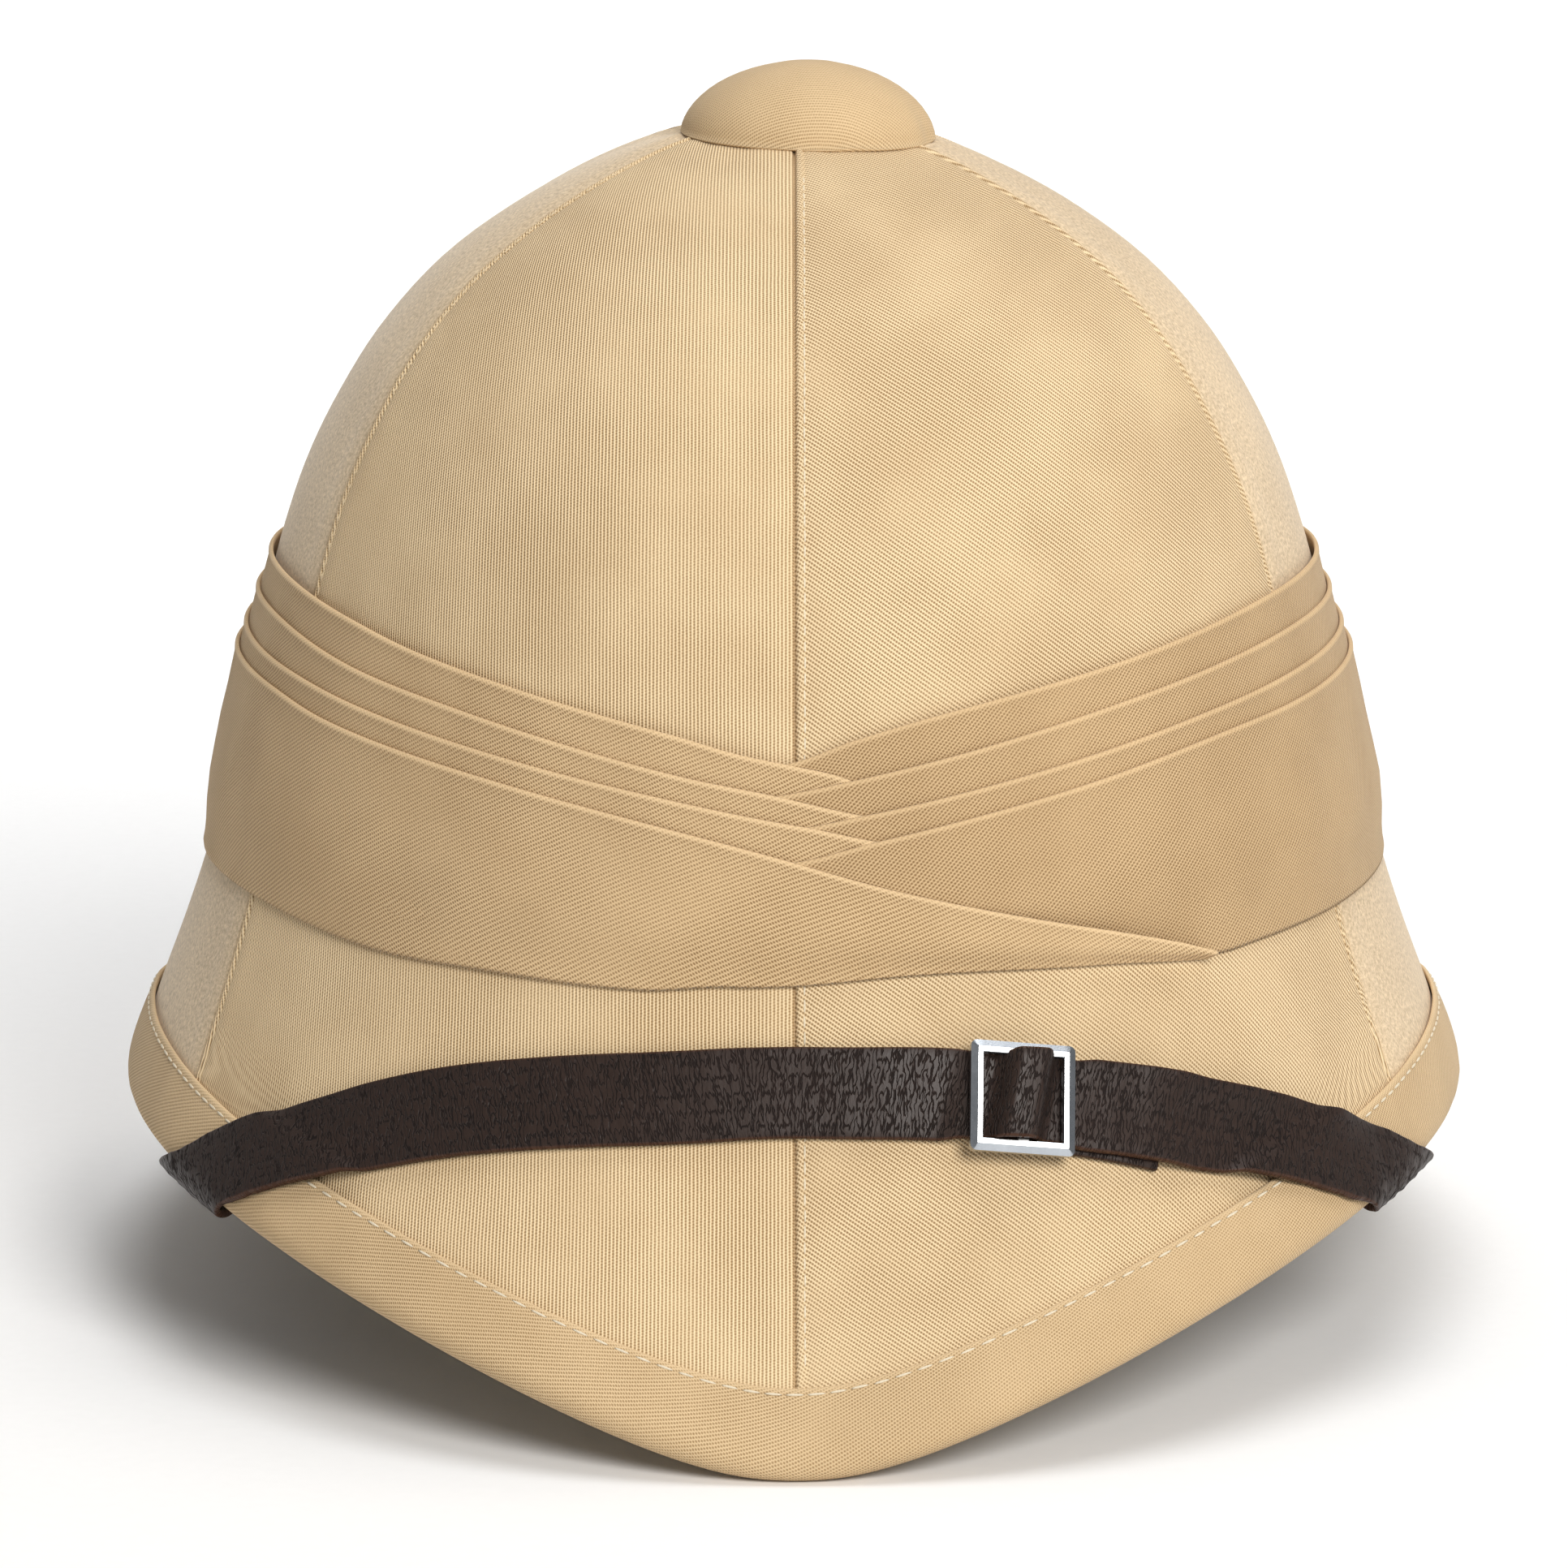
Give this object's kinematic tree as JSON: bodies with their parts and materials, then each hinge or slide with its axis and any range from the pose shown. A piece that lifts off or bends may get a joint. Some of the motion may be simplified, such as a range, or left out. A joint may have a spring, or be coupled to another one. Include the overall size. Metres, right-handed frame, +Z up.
{
  "type": "pith helmet",
  "caption": "Cloth-covered pith helmet with a domed crown, a pointed sloping brim, a pleated wrap, a top button and a leather chin strap worn over the front brim.",
  "frame": {"origin": "under the middle of the whole hat, on the surface that its brim rests on", "axes": "+Z up to the top button, -Y toward the front of the brim, +X toward the wearer's left"},
  "size_m": [0.2588, 0.3342, 0.2328],
  "materials": {
    "pith": "pressed pith with a thin dull facing",
    "twill": "khaki cotton twill",
    "puggaree": "khaki cotton twill, pleated",
    "leather": "dark brown grained leather",
    "nickel": "bright nickel plate"
  },
  "bodies": {
    "root": {"shell": "pith", "panel_front_left": "twill", "panel_front_right": "twill", "panel_side_left": "twill", "panel_side_right": "twill", "panel_back_left": "twill", "panel_back_right": "twill", "brim_binding": "twill", "puggaree_left": "puggaree", "puggaree_right": "puggaree", "top_button": "twill", "chin_strap": "leather", "strap_tail": "leather", "strap_stud_left": "nickel", "strap_stud_right": "nickel", "buckle": "nickel"}
  },
  "joints": []
}
